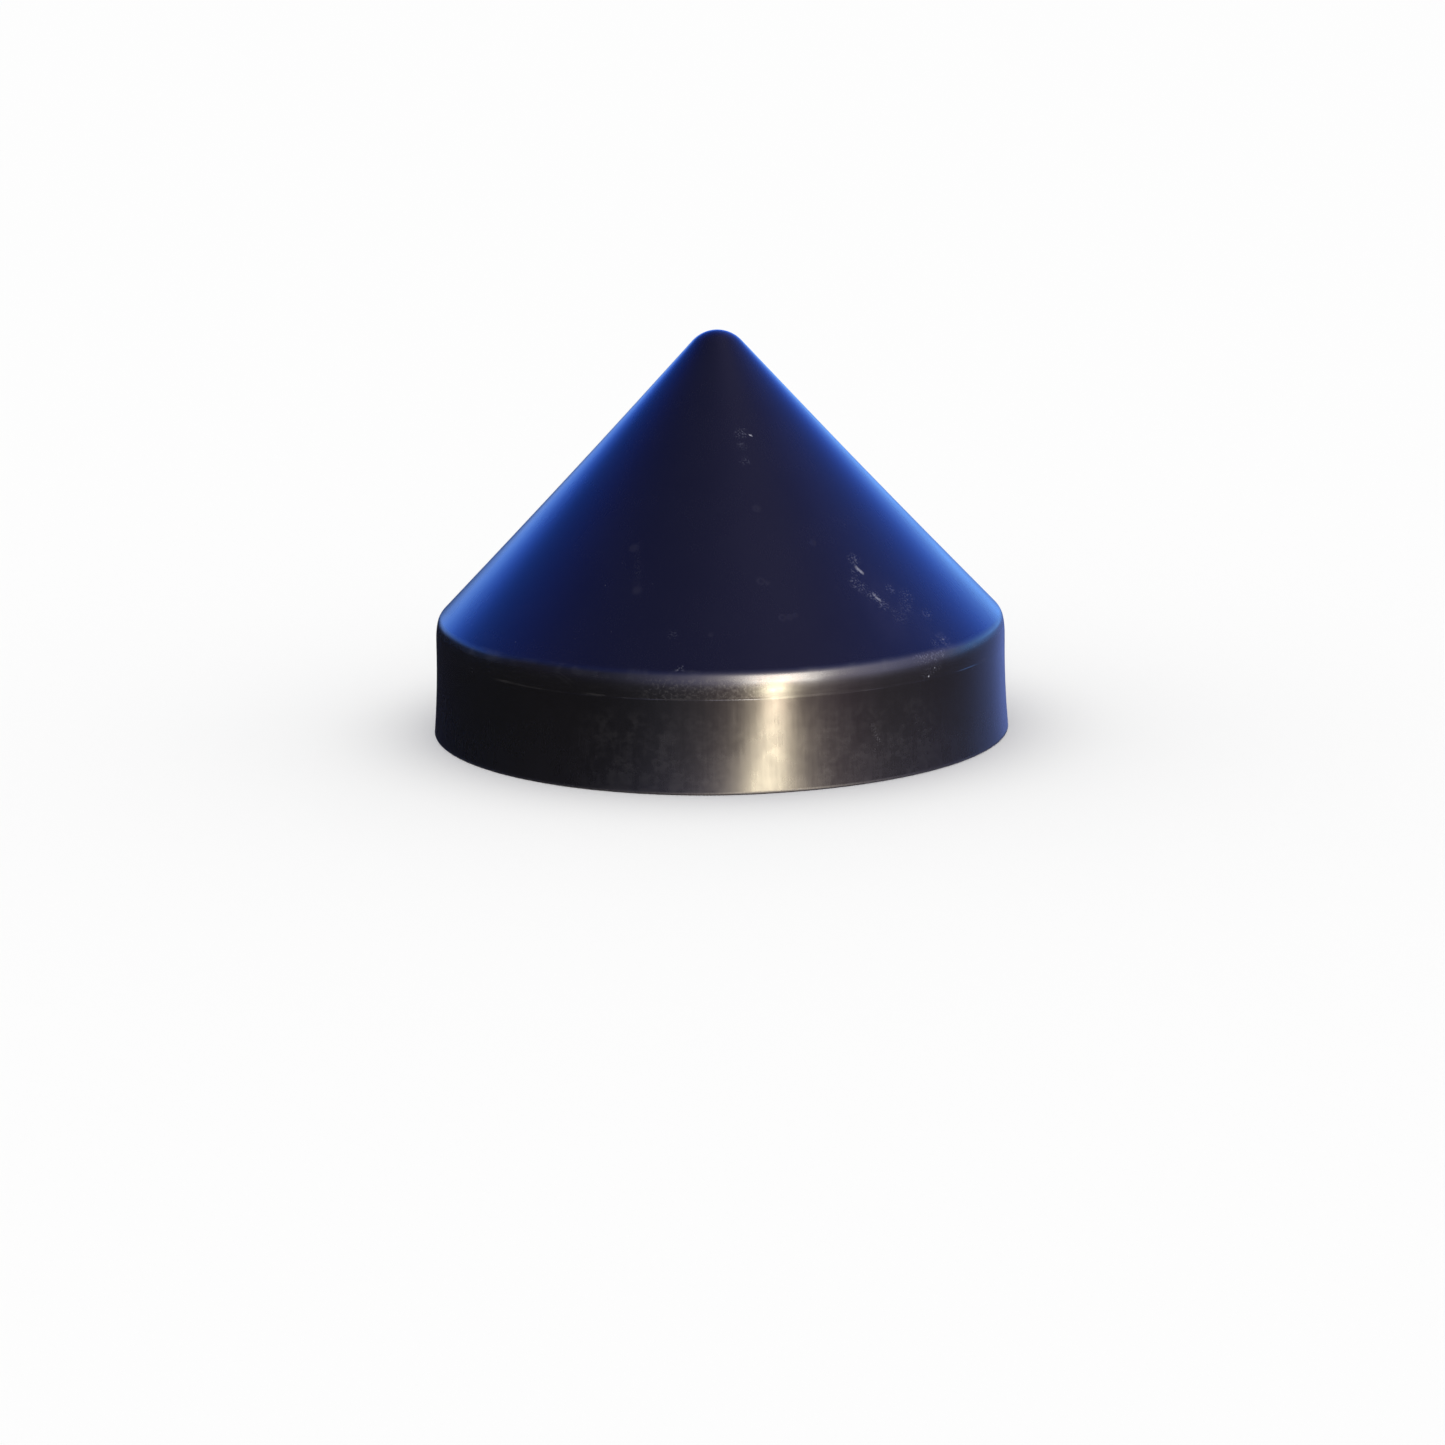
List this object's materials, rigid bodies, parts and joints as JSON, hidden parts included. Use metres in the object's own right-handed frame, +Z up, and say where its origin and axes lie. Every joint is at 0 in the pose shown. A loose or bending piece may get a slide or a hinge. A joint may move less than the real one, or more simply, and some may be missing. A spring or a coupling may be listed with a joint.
{
  "type": "fence post cap",
  "caption": "Cone-head cap for a round post: a hollow black plastic cone on a short round skirt, with a ring of adhesive sealant under the cone.",
  "frame": {"origin": "centre of the mouth's rim plane, on the cap's axis", "axes": "+Z up along the cap's axis, from the open mouth to the tip; X and Y are free, as the cap is round"},
  "size_m": [0.264, 0.2638, 0.1818],
  "materials": {
    "black_hdpe": "satin, formed black polyethylene with fine scuffs",
    "sealant": "matt, cured gun-applied adhesive sealant"
  },
  "bodies": {
    "root": {"cap_shell": "black_hdpe", "sealant_bead": "sealant"}
  },
  "joints": []
}
